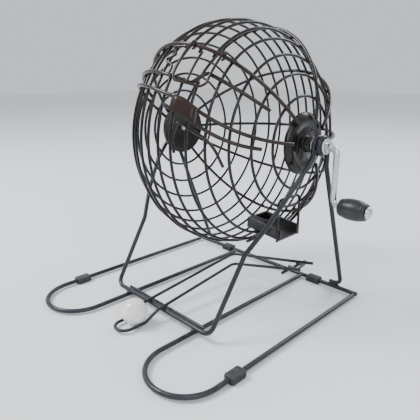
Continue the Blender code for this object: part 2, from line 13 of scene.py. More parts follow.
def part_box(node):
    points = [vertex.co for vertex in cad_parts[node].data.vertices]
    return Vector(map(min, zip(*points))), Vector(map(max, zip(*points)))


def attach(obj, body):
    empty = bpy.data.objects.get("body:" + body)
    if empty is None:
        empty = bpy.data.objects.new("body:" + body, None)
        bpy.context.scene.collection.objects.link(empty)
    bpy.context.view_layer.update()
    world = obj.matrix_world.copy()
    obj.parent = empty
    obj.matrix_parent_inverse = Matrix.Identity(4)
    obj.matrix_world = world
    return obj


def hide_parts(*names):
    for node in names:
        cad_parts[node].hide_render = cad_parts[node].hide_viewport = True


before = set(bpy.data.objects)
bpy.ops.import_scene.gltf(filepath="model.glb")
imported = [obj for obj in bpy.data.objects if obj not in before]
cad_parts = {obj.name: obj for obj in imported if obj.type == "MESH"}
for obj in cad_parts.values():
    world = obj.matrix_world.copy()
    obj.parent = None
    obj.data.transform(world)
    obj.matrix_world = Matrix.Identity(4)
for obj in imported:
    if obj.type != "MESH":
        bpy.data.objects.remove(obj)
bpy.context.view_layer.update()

# ---- sizes of the drum ---------------------------------------------------------------
DRUM_RADIUS = 0.100
DRUM_HALF_LENGTH = 0.080
HOOP_WIRE = 0.0012
RIB_WIRE = 0.0015
RIB_LIFT = 0.0029
HOOP_STATIONS = (0.0, 0.011, 0.022, 0.0335, 0.0455, 0.0575, 0.067, 0.074)
ALL_STATIONS = sorted({sign * x for x in HOOP_STATIONS for sign in (-1, 1)})
REAR_RIB_ANGLES = (112, 146, 180, 208, 236)
RIB_END_ANGLE = 78
HATCH_STATIONS = (0.022, 0.0335)
HATCH_ANGLES = (33, 47)
HATCH_RAIL_ANGLE = 49
DOOR_WIRE = 0.0010
DOOR_ARMS = (0.0165, 0.0395)
DOOR_FREE_ANGLE = 29.5
DOOR_LIFT = 0.0060
HINGE_LIFT = 0.0031
LATCH_KNOTS = ((0.0145, 46.0), (0.006, 44.5), (0.0105, 41.0),
               (0.005, 38.0), (0.0125, 35.5), (0.0128, 31.0))
CHANNEL_BEND_X = 0.030
PLATE_X = 0.0305
PLATE_LENGTH = 0.018
PLATE_SHEET = 0.0011
PLATE_LIFT = 0.0053
SCOOP_WIRE = 0.0012
SCOOP_KNOTS = ((0.0262, -1.0), (0.0250, 6.0), (0.0285, 12.5), (0.0380, 9.5),
               (0.0455, 6.5), (0.0510, 0.5), (0.0545, -9.0))
MOUTH_RAIL_X = (0.0310, 0.0690)
MOUTH_RAIL_WIRE = 0.0013
MOUTH_STATIONS = (0.0455, 0.0575)
MOUTH_HALF_WIDTH = 0.0150
TRAY_CENTRE = Vector((0.0470, 0.0, -0.0782))
TRAY_SIZE = Vector((0.0380, 0.0270, 0.0105))
TRAY_WALL = 0.0018
TRAY_RIB = 0.0012
TRAY_SLOPE = 7
STIRRUP_X = 0.0642
STIRRUP_Z = (-0.0855, -0.0480)

# ---- sizes of the shaft, the hubs and the crank --------------------------------------
SHAFT_RADIUS = 0.0025
SHAFT_CLEARANCE = 0.0001
AXLE_STUB_END_X = 0.1025
RING_X = {"retaining_ring_left": -0.1006, "retaining_ring_right": 0.0990}
RING_SPREAD = 152
HUB_RADIUS = 0.0255
HUB_FACE_X = 0.0788
HUB_THICKNESS = 0.0026
BOSS_RADIUS = 0.0065
BOSS_END_X = 0.0858
CRANK_X = 0.1070
CRANK_THROW = 0.046
CRANK_END_X = 0.140
KNOB_RADIUS = 0.0085
KNOB_LENGTH = 0.0225
KNOB_CLEARANCE = 0.0003
CAP_RADIUS = 0.0048
CAP_LENGTH = 0.0035

# ---- sizes of the stand --------------------------------------------------------------
STAND_WIRE = 0.0020
TRACK_WIRE = 0.00135
BASE_Z = 0.0032
ON_BASE_Z = 0.0074
OUTER_RAIL_X = 0.106
INNER_RAIL_X = 0.046
REAR_BAR_Y = 0.0545
LOOP_FRONT_Y = -0.160
CROSSBAR_Y = -0.0965
CROSSBAR_X = 0.064
LEG_BENDS = ((0.067, -0.060, 0.066), (0.078, -0.045, 0.090), (0.0865, -0.026, 0.118))
FRONT_EYE_X = 0.0900
REAR_EYE_X = 0.0945
EYE_RADIUS = 0.0066
FLANGE_RADIUS = 0.0062
FLANGE_WIDTH = 0.0014
TIE_BAR_Y = CROSSBAR_Y + 0.0055
FOOT_SIZE = (0.014, 0.0100, 0.0064)
FRONT_FOOT_Y = -0.112
REAR_FOOT_X = 0.060

# ---- sizes of the runway -------------------------------------------------------------
BALL_RADIUS = 0.011
TRACK_HALF_WIDTH = 0.0095
TRACK_LANE_X = -0.0020
TRACK_END = (0.0860, 0.0425)
TRACK_CORNER_Z = (0.0235, 0.0225)
TRACK_LIP_Z = 0.0105
CRADLE_HALF_WIDTH = 0.0085
CRADLE_Y = (-0.1160, -0.1300)
SUPPORT_X = 0.0700

hoop_low, hoop_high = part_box("hoop_08")
AXLE = (hoop_low + hoop_high) / 2
TABLE = Vector((AXLE.x, AXLE.y, 0.0))
AXLE_HEIGHT = AXLE.z
ball_low, ball_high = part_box("drawn_ball")
BALL_CENTRE = (ball_low + ball_high) / 2


# ---- node tools ----------------------------------------------------------------------
def fill(tree, made, sockets):
    """Fills a node's inputs. Each value is a number, a colour or another node's output."""
    for key, value in sockets.items():
        if isinstance(value, bpy.types.NodeSocket):
            tree.links.new(value, made.inputs[key])
        elif isinstance(value, tuple) and made.inputs[key].type == "RGBA":
            made.inputs[key].default_value = (*value, 1.0)
        else:
            made.inputs[key].default_value = value


def node(tree, kind, sockets=None, **settings):
    made = tree.nodes.new(kind)
    for key, value in settings.items():
        setattr(made, key, value)
    fill(tree, made, sockets or {})
    return made


def blend_colours(tree, factor, first, second):
    mix = node(tree, "ShaderNodeMix", data_type="RGBA")
    fill(tree, mix, {0: factor, 6: first, 7: second})
    return mix.outputs[2]


def calculate(tree, operation, first, second=0.0):
    made = node(tree, "ShaderNodeMath", {0: first, 1: second}, operation=operation)
    return made.outputs[0]


def remap(tree, value, low, high, new_low=0.0, new_high=1.0):
    made = node(tree, "ShaderNodeMapRange", {
        "Value": value, "From Min": low, "From Max": high, "To Min": new_low, "To Max": new_high})
    return made.outputs["Result"]


def noise(tree, place, scale, detail=3.0, roughness=0.5):
    made = node(tree, "ShaderNodeTexNoise", {
        "Vector": place, "Scale": scale, "Detail": detail, "Roughness": roughness})
    return made.outputs["Fac"]


def effect_group(name, inputs, outputs):
    """An empty node group with named number inputs and outputs, and its two end nodes."""
    tree = bpy.data.node_groups.new(name, "ShaderNodeTree")
    for label, value in inputs.items():
        socket = tree.interface.new_socket(label, in_out="INPUT", socket_type="NodeSocketFloat")
        socket.default_value = value
    for label in outputs:
        tree.interface.new_socket(label, in_out="OUTPUT", socket_type="NodeSocketFloat")
    return tree, tree.nodes.new("NodeGroupInput"), tree.nodes.new("NodeGroupOutput")


def object_place(tree):
    return node(tree, "ShaderNodeTexCoord").outputs["Object"]


# ---- shared effects ------------------------------------------------------------------
def make_paint_skin():
    """Brushed-dip enamel: fine orange peel, slow tone drift and a few thin sags."""
    tree, given, result = effect_group("paint_skin", {"Peel Size": 900.0}, ("Height", "Tone"))
    place = object_place(tree)
    peel = noise(tree, place, given.outputs["Peel Size"], 2.0)
    sag = noise(tree, place, 140.0, 1.0)
    height = calculate(tree, "ADD", peel, calculate(tree, "MULTIPLY", sag, 1.6))
    tone = remap(tree, noise(tree, place, 22.0, 4.0, 0.6), 0.35, 0.65)
    fill(tree, result, {"Height": height, "Tone": tone})
    return tree


def make_rub_marks():
    """Patches where handling and balls have rubbed the finish, broken up by fine grain."""
    tree, given, result = effect_group("rub_marks", {"Amount": 0.5, "Patch Size": 55.0}, ("Mask",))
    place = object_place(tree)
    patch = noise(tree, place, given.outputs["Patch Size"], 5.0, 0.65)
    eased = calculate(tree, "MULTIPLY", given.outputs["Amount"], 0.2)
    threshold = calculate(tree, "SUBTRACT", 0.78, eased)
    above = calculate(tree, "MULTIPLY", calculate(tree, "SUBTRACT", patch, threshold), 14.0)
    grain = remap(tree, noise(tree, place, 2400.0, 2.0), 0.42, 0.6)
    clipped = node(tree, "ShaderNodeClamp", {"Value": above}).outputs[0]
    fill(tree, result, {"Mask": calculate(tree, "MULTIPLY", clipped, grain)})
    return tree


def make_dust_film():
    """Fine dust that lies on faces turned upwards."""
    tree, given, result = effect_group("dust_film", {"Amount": 0.3}, ("Mask",))
    place = object_place(tree)
    normal = node(tree, "ShaderNodeNewGeometry").outputs["Normal"]
    up = node(tree, "ShaderNodeSeparateXYZ", {0: normal}).outputs["Z"]
    facing = remap(tree, up, 0.35, 1.0)
    drift = remap(tree, noise(tree, place, 180.0, 5.0, 0.7), 0.35, 0.75)
    mask = calculate(tree, "MULTIPLY", facing, drift)
    fill(tree, result, {"Mask": calculate(tree, "MULTIPLY", mask, given.outputs["Amount"])})
    return tree


def make_drawn_lines():
    """Fine lines left along X by the drawing die and the lathe."""
    tree, given, result = effect_group("drawn_lines", {"Fineness": 1800.0}, ("Height", "Mask"))
    stretch = node(tree, "ShaderNodeMapping", {"Vector": object_place(tree), "Scale": (0.03, 1.0, 1.0)})
    lines = noise(tree, stretch.outputs["Vector"], given.outputs["Fineness"], 4.0, 0.7)
    fill(tree, result, {"Height": lines, "Mask": remap(tree, lines, 0.3, 0.7)})
    return tree


def make_moulded_grain():
    """The fine spark-etched grain of a plastic or rubber moulding."""
    tree, given, result = effect_group("moulded_grain", {"Grain Size": 2600.0}, ("Height", "Tone"))
    place = object_place(tree)
    cells = node(tree, "ShaderNodeTexVoronoi", {"Vector": place, "Scale": given.outputs["Grain Size"]})
    tone = remap(tree, noise(tree, place, 70.0, 4.0), 0.35, 0.65)
    fill(tree, result, {"Height": cells.outputs["Distance"], "Tone": tone})
    return tree


PAINT_SKIN = make_paint_skin()
RUB_MARKS = make_rub_marks()
DUST_FILM = make_dust_film()
DRAWN_LINES = make_drawn_lines()
MOULDED_GRAIN = make_moulded_grain()


def effect(tree, group, **values):
    """A shared effect in a material's tree. A value's underscores stand for the input's spaces."""
    made = node(tree, "ShaderNodeGroup", node_tree=group)
    for label, value in values.items():
        made.inputs[label.replace("_", " ")].default_value = value
    return made


def new_finish(name, coat=0.0, coat_roughness=0.1, specular=0.5):
    """A new material, with its node tree and its Principled shader."""
    finish = bpy.data.materials.new(name)
    finish.use_nodes = True
    tree = finish.node_tree
    shader = tree.nodes["Principled BSDF"]
    fill(tree, shader, {
        "Coat Weight": coat, "Coat Roughness": coat_roughness, "Specular IOR Level": specular})
    return finish, tree, shader


def add_bump(tree, shader, height, strength, distance):
    bump = node(tree, "ShaderNodeBump", {"Height": height, "Strength": strength, "Distance": distance})
    fill(tree, shader, {"Normal": bump.outputs["Normal"]})


# ---- finishes ------------------------------------------------------------------------
DUST_COLOUR = (0.42, 0.40, 0.37)


def enamel(name, dark, light, bare, gloss, wear, dust):
    """Stoved enamel over steel wire, rubbed through to the metal in a few places."""
    finish, tree, shader = new_finish(name, coat=0.12, coat_roughness=0.08, specular=0.30)
    skin = effect(tree, PAINT_SKIN)
    rub = effect(tree, RUB_MARKS, Amount=wear).outputs["Mask"]
    film = effect(tree, DUST_FILM, Amount=dust).outputs["Mask"]
    paint = blend_colours(tree, skin.outputs["Tone"], dark, light)
    worn = blend_colours(tree, rub, paint, bare)
    dusty = blend_colours(tree, film, worn, DUST_COLOUR)
    sheen = remap(tree, skin.outputs["Tone"], 0.0, 1.0, gloss, gloss + 0.10)
    rough = calculate(tree, "ADD", sheen, calculate(tree, "MULTIPLY", film, 0.35))
    fill(tree, shader, {"Base Color": dusty, "Metallic": rub, "Roughness": rough})
    add_bump(tree, shader, skin.outputs["Height"], 0.25, 0.00006)
    return finish


def plated_steel(name):
    """Bright zinc-plated steel with drawing lines and faint tarnish."""
    finish, tree, shader = new_finish(name)
    lines = effect(tree, DRAWN_LINES)
    tarnish = effect(tree, RUB_MARKS, Amount=0.9, Patch_Size=90.0).outputs["Mask"]
    bright = blend_colours(tree, lines.outputs["Mask"], (0.52, 0.53, 0.55), (0.70, 0.71, 0.72))
    tarnished = blend_colours(tree, tarnish, bright, (0.30, 0.27, 0.23))
    rough = remap(tree, lines.outputs["Mask"], 0.0, 1.0, 0.20, 0.38)
    fill(tree, shader, {"Base Color": tarnished, "Metallic": 1.0, "Roughness": rough})
    add_bump(tree, shader, lines.outputs["Height"], 0.3, 0.00003)
    return finish


def moulding(name, dark, light, rough, grain, scuff, dust, subsurface=0.0):
    """A moulded plastic or rubber with etched grain, scuffs and dust."""
    finish, tree, shader = new_finish(name)
    fill(tree, shader, {"Subsurface Weight": subsurface, "Subsurface Scale": 0.002})
    skin = effect(tree, MOULDED_GRAIN)
    rub = effect(tree, RUB_MARKS, Amount=scuff, Patch_Size=120.0).outputs["Mask"]
    film = effect(tree, DUST_FILM, Amount=dust).outputs["Mask"]
    colour = blend_colours(tree, skin.outputs["Tone"], dark, light)
    scuffed = blend_colours(tree, rub, colour, tuple(min(1.0, c * 1.5 + 0.05) for c in light))
    dusty = blend_colours(tree, film, scuffed, DUST_COLOUR)
    dulled = calculate(tree, "ADD", calculate(tree, "MULTIPLY", rub, 0.2), rough)
    fill(tree, shader, {"Base Color": dusty, "Roughness": dulled})
    add_bump(tree, shader, skin.outputs["Height"], grain, 0.00005)
    return finish


def ball_finish():
    """Polished white moulding, faintly yellowed, with hairline scuffs from tumbling."""
    finish, tree, shader = new_finish("ball_polished_white", coat=0.35, coat_roughness=0.06)
    fill(tree, shader, {"Subsurface Weight": 0.08, "Subsurface Scale": 0.003})
    skin = effect(tree, MOULDED_GRAIN, Grain_Size=700.0)
    scuff = effect(tree, RUB_MARKS, Amount=0.75, Patch_Size=210.0).outputs["Mask"]
    white = blend_colours(tree, skin.outputs["Tone"], (0.80, 0.80, 0.77), (0.88, 0.88, 0.86))
    scuffed = blend_colours(tree, scuff, white, (0.55, 0.55, 0.54))
    rough = remap(tree, scuff, 0.0, 1.0, 0.16, 0.45)
    fill(tree, shader, {"Base Color": scuffed, "Roughness": rough})
    add_bump(tree, shader, skin.outputs["Height"], 0.06, 0.00004)
    return finish


def floor_finish():
    finish, tree, shader = new_finish("studio_floor", specular=0.3)
    cloud = noise(tree, object_place(tree), 3.0, 4.0)
    pale = blend_colours(tree, cloud, (0.83, 0.84, 0.86), (0.87, 0.88, 0.89))
    fill(tree, shader, {"Base Color": pale, "Roughness": 0.55})
    return finish


DRUM_ENAMEL = enamel("drum_black_enamel", (0.005, 0.0045, 0.005), (0.011, 0.009, 0.009),
                     bare=(0.26, 0.24, 0.22), gloss=0.20, wear=0.42, dust=0.05)
HATCH_ENAMEL = enamel("hatch_brown_enamel", (0.013, 0.0065, 0.0050), (0.027, 0.0130, 0.0095),
                      bare=(0.26, 0.23, 0.20), gloss=0.22, wear=0.42, dust=0.05)
STAND_ENAMEL = enamel("stand_slate_enamel", (0.012, 0.014, 0.019), (0.026, 0.029, 0.037),
                      bare=(0.30, 0.30, 0.31), gloss=0.26, wear=0.38, dust=0.08)
STEEL = plated_steel("plated_steel")
BLACK_PLASTIC = moulding("black_moulded_plastic", (0.010, 0.010, 0.011), (0.022, 0.022, 0.024),
                         rough=0.34, grain=0.35, scuff=0.6, dust=0.08)
NYLON = moulding("natural_nylon", (0.56, 0.54, 0.48), (0.66, 0.65, 0.60),
                 rough=0.42, grain=0.2, scuff=0.5, dust=0.1, subsurface=0.15)
RUBBER = moulding("black_rubber", (0.014, 0.014, 0.015), (0.030, 0.030, 0.031),
                  rough=0.68, grain=0.6, scuff=0.7, dust=0.12)
BALL_WHITE = ball_finish()


# ---- mesh tools ----------------------------------------------------------------------
SHARP_ANGLE = radians(47)


def plain_mesh(name, verts, faces):
    mesh = bpy.data.meshes.new(name)
    mesh.from_pydata([tuple(v) for v in verts], [], faces)
    return mesh


def outward_mesh(name, verts, faces, weld=0.0):
    """A mesh with its faces turned outwards, and with points closer than weld joined."""
    mesh = plain_mesh(name, verts, faces)
    shape = bmesh.new()
    shape.from_mesh(mesh)
    if weld:
        bmesh.ops.remove_doubles(shape, verts=shape.verts[:], dist=weld)
    bmesh.ops.recalc_face_normals(shape, faces=shape.faces)
    shape.to_mesh(mesh)
    shape.free()
    return mesh


def add_mesh_piece(name, mesh, finish, body, *nodes):
    """Makes a piece that rides on a body and stands for the named nodes of the part."""
    mesh.shade_smooth()
    mesh.set_sharp_from_angle(angle=SHARP_ANGLE)
    mesh.materials.append(finish)
    obj = bpy.data.objects.new(name, mesh)
    bpy.context.scene.collection.objects.link(obj)
    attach(obj, body)
    if nodes:
        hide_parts(*nodes)


def add_piece(name, verts, faces, finish, body, *nodes):
    add_mesh_piece(name, plain_mesh(name, verts, faces), finish, body, *nodes)


def ring_faces(count, sides, closed=False):
    """Faces between rings of points that follow each other."""
    faces = []
    for index in range(count if closed else count - 1):
        here, there = index * sides, (index + 1) % count * sides
        for step in range(sides):
            after = (step + 1) % sides
            faces.append((here + step, here + after, there + after, there + step))
    return faces


def swept(path, radius, sides=12, closed=False, swell=None):
    """Verts and faces of a round wire along the path. swell(t) scales its radius.

    The ends of an open wire are chamfered.
    """
    points = [Vector(p) for p in path]
    count = len(points)
    tangents = []
    for index in range(count):
        before = points[index - 1] if (closed or index) else points[index]
        after = points[(index + 1) % count] if (closed or index < count - 1) else points[index]
        tangents.append((after - before).normalized())
    scale = [swell(index / count) if swell else 1.0 for index in range(count)]
    if not closed:
        chamfer = 0.3 * radius
        first, last = points[0], points[-1]
        points = ([first, first + tangents[0] * chamfer] + points[1:-1]
                  + [last - tangents[-1] * chamfer, last])
        tangents = [tangents[0]] + tangents + [tangents[-1]]
        scale = [0.6] + scale + [0.6]
        count += 2
    normal = tangents[0].orthogonal().normalized()
    verts = []
    for index, (point, tangent) in enumerate(zip(points, tangents)):
        if index:
            normal = tangents[index - 1].rotation_difference(tangent) @ normal
        side = tangent.cross(normal)
        for step in range(sides):
            turn = 2 * pi * step / sides
            offset = cos(turn) * normal + sin(turn) * side
            verts.append(point + radius * scale[index] * offset)
    faces = ring_faces(count, sides, closed)
    if not closed:
        faces.append(tuple(range(sides))[::-1])
        faces.append(tuple(range((count - 1) * sides, count * sides)))
    return verts, faces


def wire(name, path, radius, finish, body, nodes, sides=12, closed=False, swell=None):
    verts, faces = swept(path, radius, sides, closed, swell)
    add_piece(name, verts, faces, finish, body, *nodes)


def joined(*parts):
    """Several (verts, faces) solids as one."""
    verts, faces = [], []
    for more_verts, more_faces in parts:
        faces += [tuple(index + len(verts) for index in face) for face in more_faces]
        verts += more_verts
    return verts, faces


def turned(profile, centre, steps=56):
    """Verts and faces turned about X from a closed loop of (x, radius) points."""
    pairs = list(zip(profile, profile[1:] + profile[:1]))
    if sum(x1 * r2 - x2 * r1 for (x1, r1), (x2, r2) in pairs) < 0:
        profile = profile[::-1]
    verts, rings = [], []
    for x, radius in profile:
        if radius == 0:
            rings.append([len(verts)] * steps)
            verts.append(centre + Vector((x, 0, 0)))
        else:
            rings.append(list(range(len(verts), len(verts) + steps)))
            for step in range(steps):
                turn = 2 * pi * step / steps
                verts.append(centre + Vector((x, -radius * sin(turn), radius * cos(turn))))
    faces = []
    for first, second in zip(rings, rings[1:] + rings[:1]):
        if first[0] == first[1] and second[0] == second[1]:
            continue
        for step in range(steps):
            after = (step + 1) % steps
            corners = (first[step], first[after], second[after], second[step])
            faces.append(tuple(dict.fromkeys(corners)))
    return verts, faces


def bead(centre, along, across, out):
    """One weld bead: a small squashed ball with a slightly uneven skin."""
    segments, rings = 10, 6
    verts, faces = [centre + out], []
    for ring in range(1, rings):
        tilt = pi * ring / rings
        for step in range(segments):
            turn = 2 * pi * step / segments
            rough = 1.0 + 0.06 * sin(3 * turn + 90 * centre.x + 2 * ring)
            verts.append(centre + out * cos(tilt)
                         + (along * cos(turn) + across * sin(turn)) * sin(tilt) * rough)
    verts.append(centre - out)
    for step in range(segments):
        after = (step + 1) % segments
        faces.append((0, 1 + step, 1 + after))
        for ring in range(rings - 2):
            here, there = 1 + ring * segments, 1 + (ring + 1) * segments
            faces.append((here + step, there + step, there + after, here + after))
        base = 1 + (rings - 2) * segments
        faces.append((base + step, len(verts) - 1, base + after))
    if along.cross(across).dot(out) < 0:
        faces = [face[::-1] for face in faces]
    return verts, faces


def bent_path(corners, bend_radius, steps=9):
    """Straight runs between the corners, with a round bend at each inner corner."""
    points = [Vector(corners[0])]
    for before, corner, after in zip(corners, corners[1:], corners[2:]):
        corner = Vector(corner)
        incoming = (corner - Vector(before)).normalized()
        outgoing = (Vector(after) - corner).normalized()
        turn = incoming.angle(outgoing)
        centre = corner + (outgoing - incoming).normalized() * (bend_radius / cos(turn / 2))
        start = corner - incoming * bend_radius * tan(turn / 2) - centre
        axis = incoming.cross(outgoing)
        for step in range(steps + 1):
            points.append(centre + Matrix.Rotation(turn * step / steps, 3, axis) @ start)
    points.append(Vector(corners[-1]))
    return points


def smooth_path(knots, steps):
    """A Catmull-Rom curve through the knots."""
    knots = [Vector(knot) for knot in knots]
    padded = [2 * knots[0] - knots[1]] + knots + [2 * knots[-1] - knots[-2]]
    points = []
    for a, b, c, d in zip(padded, padded[1:], padded[2:], padded[3:]):
        for step in range(steps):
            t = step / steps
            points.append(0.5 * (2 * b + (c - a) * t + (2 * a - 5 * b + 4 * c - d) * t ** 2
                                 + (3 * b - a - 3 * c + d) * t ** 3))
    points.append(knots[-1])
    return points


def shell_normal(x, angle):
    """The way out of the drum's shell. Angle 0 is -Y and angle 90 is +Z."""
    slope = asin(x / DRUM_HALF_LENGTH)
    flat = Vector((sin(slope) / DRUM_HALF_LENGTH, cos(slope) / DRUM_RADIUS)).normalized()
    turn = radians(angle)
    return Vector((flat.x, -flat.y * cos(turn), flat.y * sin(turn)))


def shell_radius(x):
    return DRUM_RADIUS * sqrt(1 - (x / DRUM_HALF_LENGTH) ** 2)


def shell_point(x, angle, lift):
    """A point the given height over the drum's shell, from the middle of the axle."""
    turn = radians(angle)
    radius = shell_radius(x)
    on_shell = Vector((x, -radius * cos(turn), radius * sin(turn)))
    return on_shell + lift * shell_normal(x, angle)


def on_drum(points):
    return [AXLE + Vector(p) for p in points]


def on_table(points):
    return [TABLE + Vector(p) for p in points]


def mirrored(points, side):
    """The points as they are for side 1, and mirrored in X for side -1."""
    return [Vector((side * p.x, p.y, p.z)) for p in points]


def shell_bead(x, angle, lift, length, width, height):
    """A weld bead at a point over the drum's shell."""
    out = shell_normal(x, angle)
    across = Vector((0, sin(radians(angle)), cos(radians(angle))))
    centre = AXLE + shell_point(x, angle, lift)
    return bead(centre, out.cross(across) * length, across * width, out * height)


# ---- drum: hoops and ribs ------------------------------------------------------------
def hatch_lower_angle(x):
    """The rail below the hatch, which jogs upwards towards the crank's end."""
    jog = min(1.0, max(0.0, (x - 0.029) / 0.009))
    return 33.0 - 80 * x + 7.5 * jog * jog * (3 - 2 * jog)


def channel_upper_angle(x):
    return 25.5 - 110 * x - 215 * max(0.0, x - CHANNEL_BEND_X)


def channel_lower_angle(x):
    return 21.5 - 165 * x - 225 * max(0.0, x - CHANNEL_BEND_X)


def hoop_path(x, start, sweep):
    """A hoop, a little out of round as a hand-bent one is."""
    radius = shell_radius(x)
    steps = max(48, round(132 * radius / DRUM_RADIUS * sweep / 360))
    points = []
    for step in range(steps + (sweep < 360)):
        angle = radians(start + sweep * step / steps)
        waver = 0.00012 * sin(3 * angle + 700 * x) + 0.00008 * sin(7 * angle + 300 * x)
        lean = 0.00015 * sin(2 * angle + 900 * x)
        reach = radius + waver
        points.append((x + lean, -reach * cos(angle), reach * sin(angle)))
    return on_drum(points)


def butt_weld(t, at=0.61, width=0.004):
    """The swelling where a hoop's two ends are welded together."""
    return 1.0 + 0.20 * exp(-((t - at) / width) ** 2)


def make_hoops():
    for number, x in enumerate(ALL_STATIONS, start=1):
        name, node_name = f"hoop_wire_{number:02d}", f"hoop_{number:02d}"
        if x in HATCH_STATIONS:
            path = hoop_path(x, HATCH_ANGLES[1], 360 - (HATCH_ANGLES[1] - HATCH_ANGLES[0]))
        elif x in MOUTH_STATIONS:
            half = degrees(asin(MOUTH_HALF_WIDTH / shell_radius(x)))
            path = hoop_path(x, -90 + half, 360 - 2 * half)
        else:
            path = hoop_path(x, 17 * number, 360)
        whole = x not in HATCH_STATIONS + MOUTH_STATIONS
        swell = butt_weld if whole else None
        wire(name, path, HOOP_WIRE, DRUM_ENAMEL, "drum", [node_name], 10, whole, swell)


RIBS = []


def add_rib(node_name, angle_at, from_x, to_x, steps, finish):
    """A rib over the hoops. Ribs that reach the ends lie on the hub plates."""
    start, end = asin(from_x / DRUM_HALF_LENGTH), asin(to_x / DRUM_HALF_LENGTH)
    points = []
    for step in range(steps + 1):
        x = DRUM_HALF_LENGTH * sin(start + (end - start) * step / steps)
        points.append(shell_point(x, angle_at(x), RIB_LIFT))
    wire(node_name + "_wire", on_drum(points), RIB_WIRE, finish, "drum", [node_name], 14)
    RIBS.append((angle_at, from_x, to_x))


def make_ribs():
    reach = DRUM_HALF_LENGTH * sin(radians(RIB_END_ANGLE))
    for number, angle in enumerate(REAR_RIB_ANGLES, start=1):
        add_rib(f"rib_{number}", lambda x, a=angle: a, -reach, reach, 90, DRUM_ENAMEL)
    add_rib("hatch_rail_upper", lambda x: HATCH_RAIL_ANGLE, -reach, reach, 90, HATCH_ENAMEL)
    add_rib("hatch_rail_lower", hatch_lower_angle, -0.068, 0.070, 90, HATCH_ENAMEL)
    add_rib("channel_rail_upper", channel_upper_angle, -reach, reach, 90, HATCH_ENAMEL)
    add_rib("channel_rail_lower", channel_lower_angle, 0.014, 0.070, 40, HATCH_ENAMEL)


def crosses_gap(x, angle):
    """True where a hoop is cut away, so that no rib can be welded to it."""
    if x in HATCH_STATIONS and HATCH_ANGLES[0] + 0.6 < angle < HATCH_ANGLES[1] - 0.6:
        return True
    half = degrees(asin(MOUTH_HALF_WIDTH / shell_radius(x)))
    return x in MOUTH_STATIONS and abs(angle + 90) < half


def make_drum_welds():
    """A bead where each rib crosses each hoop."""
    solids = []
    for angle_at, from_x, to_x in RIBS:
        for x in ALL_STATIONS:
            angle = angle_at(x)
            if not from_x < x < to_x or crosses_gap(x, angle):
                continue
            solids.append(shell_bead(x, angle, HOOP_WIRE + 0.0001, 0.0018, 0.0016, 0.0009))
    verts, faces = joined(*solids)
    add_piece("drum_weld_beads", verts, faces, DRUM_ENAMEL, "drum")


# ---- hatch door ----------------------------------------------------------------------
HINGE_POINTS = [shell_point(x, HATCH_RAIL_ANGLE, HINGE_LIFT) for x in DOOR_ARMS]
HINGE_AXIS = (HINGE_POINTS[1] - HINGE_POINTS[0]).normalized()
EYE_WIRE_RADIUS = 0.0029


def door_arm(x, centre):
    """One arm of the door: its eye about the hinge rail and the run down to the free edge."""
    out = shell_normal(x, HATCH_RAIL_ANGLE)
    out = (out - HINGE_AXIS * out.dot(HINGE_AXIS)).normalized()
    down = HINGE_AXIS.cross(out)
    if down.z > 0:
        down = -down
    eye = []
    for step in range(19):
        angle = radians(-150 + 240 * step / 18)
        eye.append(centre + EYE_WIRE_RADIUS * (sin(angle) * out - cos(angle) * down))
    run = (44.5, 42, 39, 36, 34, DOOR_FREE_ANGLE + 2.5)
    return eye + [shell_point(x, angle, DOOR_LIFT) for angle in run]


def make_door():
    near, far = (door_arm(x, centre) for x, centre in zip(DOOR_ARMS, HINGE_POINTS))
    low, high = DOOR_ARMS[0] + 0.003, DOOR_ARMS[1] - 0.003
    edge = [shell_point(low + (high - low) * step / 6, DOOR_FREE_ANGLE, DOOR_LIFT) for step in range(7)]
    corner_near = smooth_path([near[-2], near[-1], edge[0], edge[1]], 5)[5:11]
    corner_far = smooth_path([edge[-2], edge[-1], far[-1], far[-2]], 5)[5:11]
    frame_path = near[:-1] + corner_near + edge[1:-1] + corner_far + far[:-1][::-1]
    middle = sum(DOOR_ARMS) / 2
    bar = [shell_point(middle, 45.5 - 14.9 * step / 12, DOOR_LIFT) for step in range(13)]
    spring = smooth_path([shell_point(x, angle, DOOR_LIFT + 0.0002) for x, angle in LATCH_KNOTS], 12)
    for name, path, node_name in (
        ("hatch_door_frame_wire", frame_path, "hatch_door_frame"),
        ("hatch_door_bar_wire", bar, "hatch_door_bar"),
        ("hatch_latch_wire", spring, "hatch_latch_spring"),
    ):
        wire(name, on_drum(path), DOOR_WIRE, HATCH_ENAMEL, "hatch_door", [node_name])
    places = ((middle, DOOR_FREE_ANGLE + 0.8), (0.0140, 45.6), (0.0146, 31.2))
    verts, faces = joined(*(shell_bead(x, angle, DOOR_LIFT, 0.0016, 0.0014, 0.0011) for x, angle in places))
    add_piece("hatch_weld_beads", verts, faces, HATCH_ENAMEL, "hatch_door")


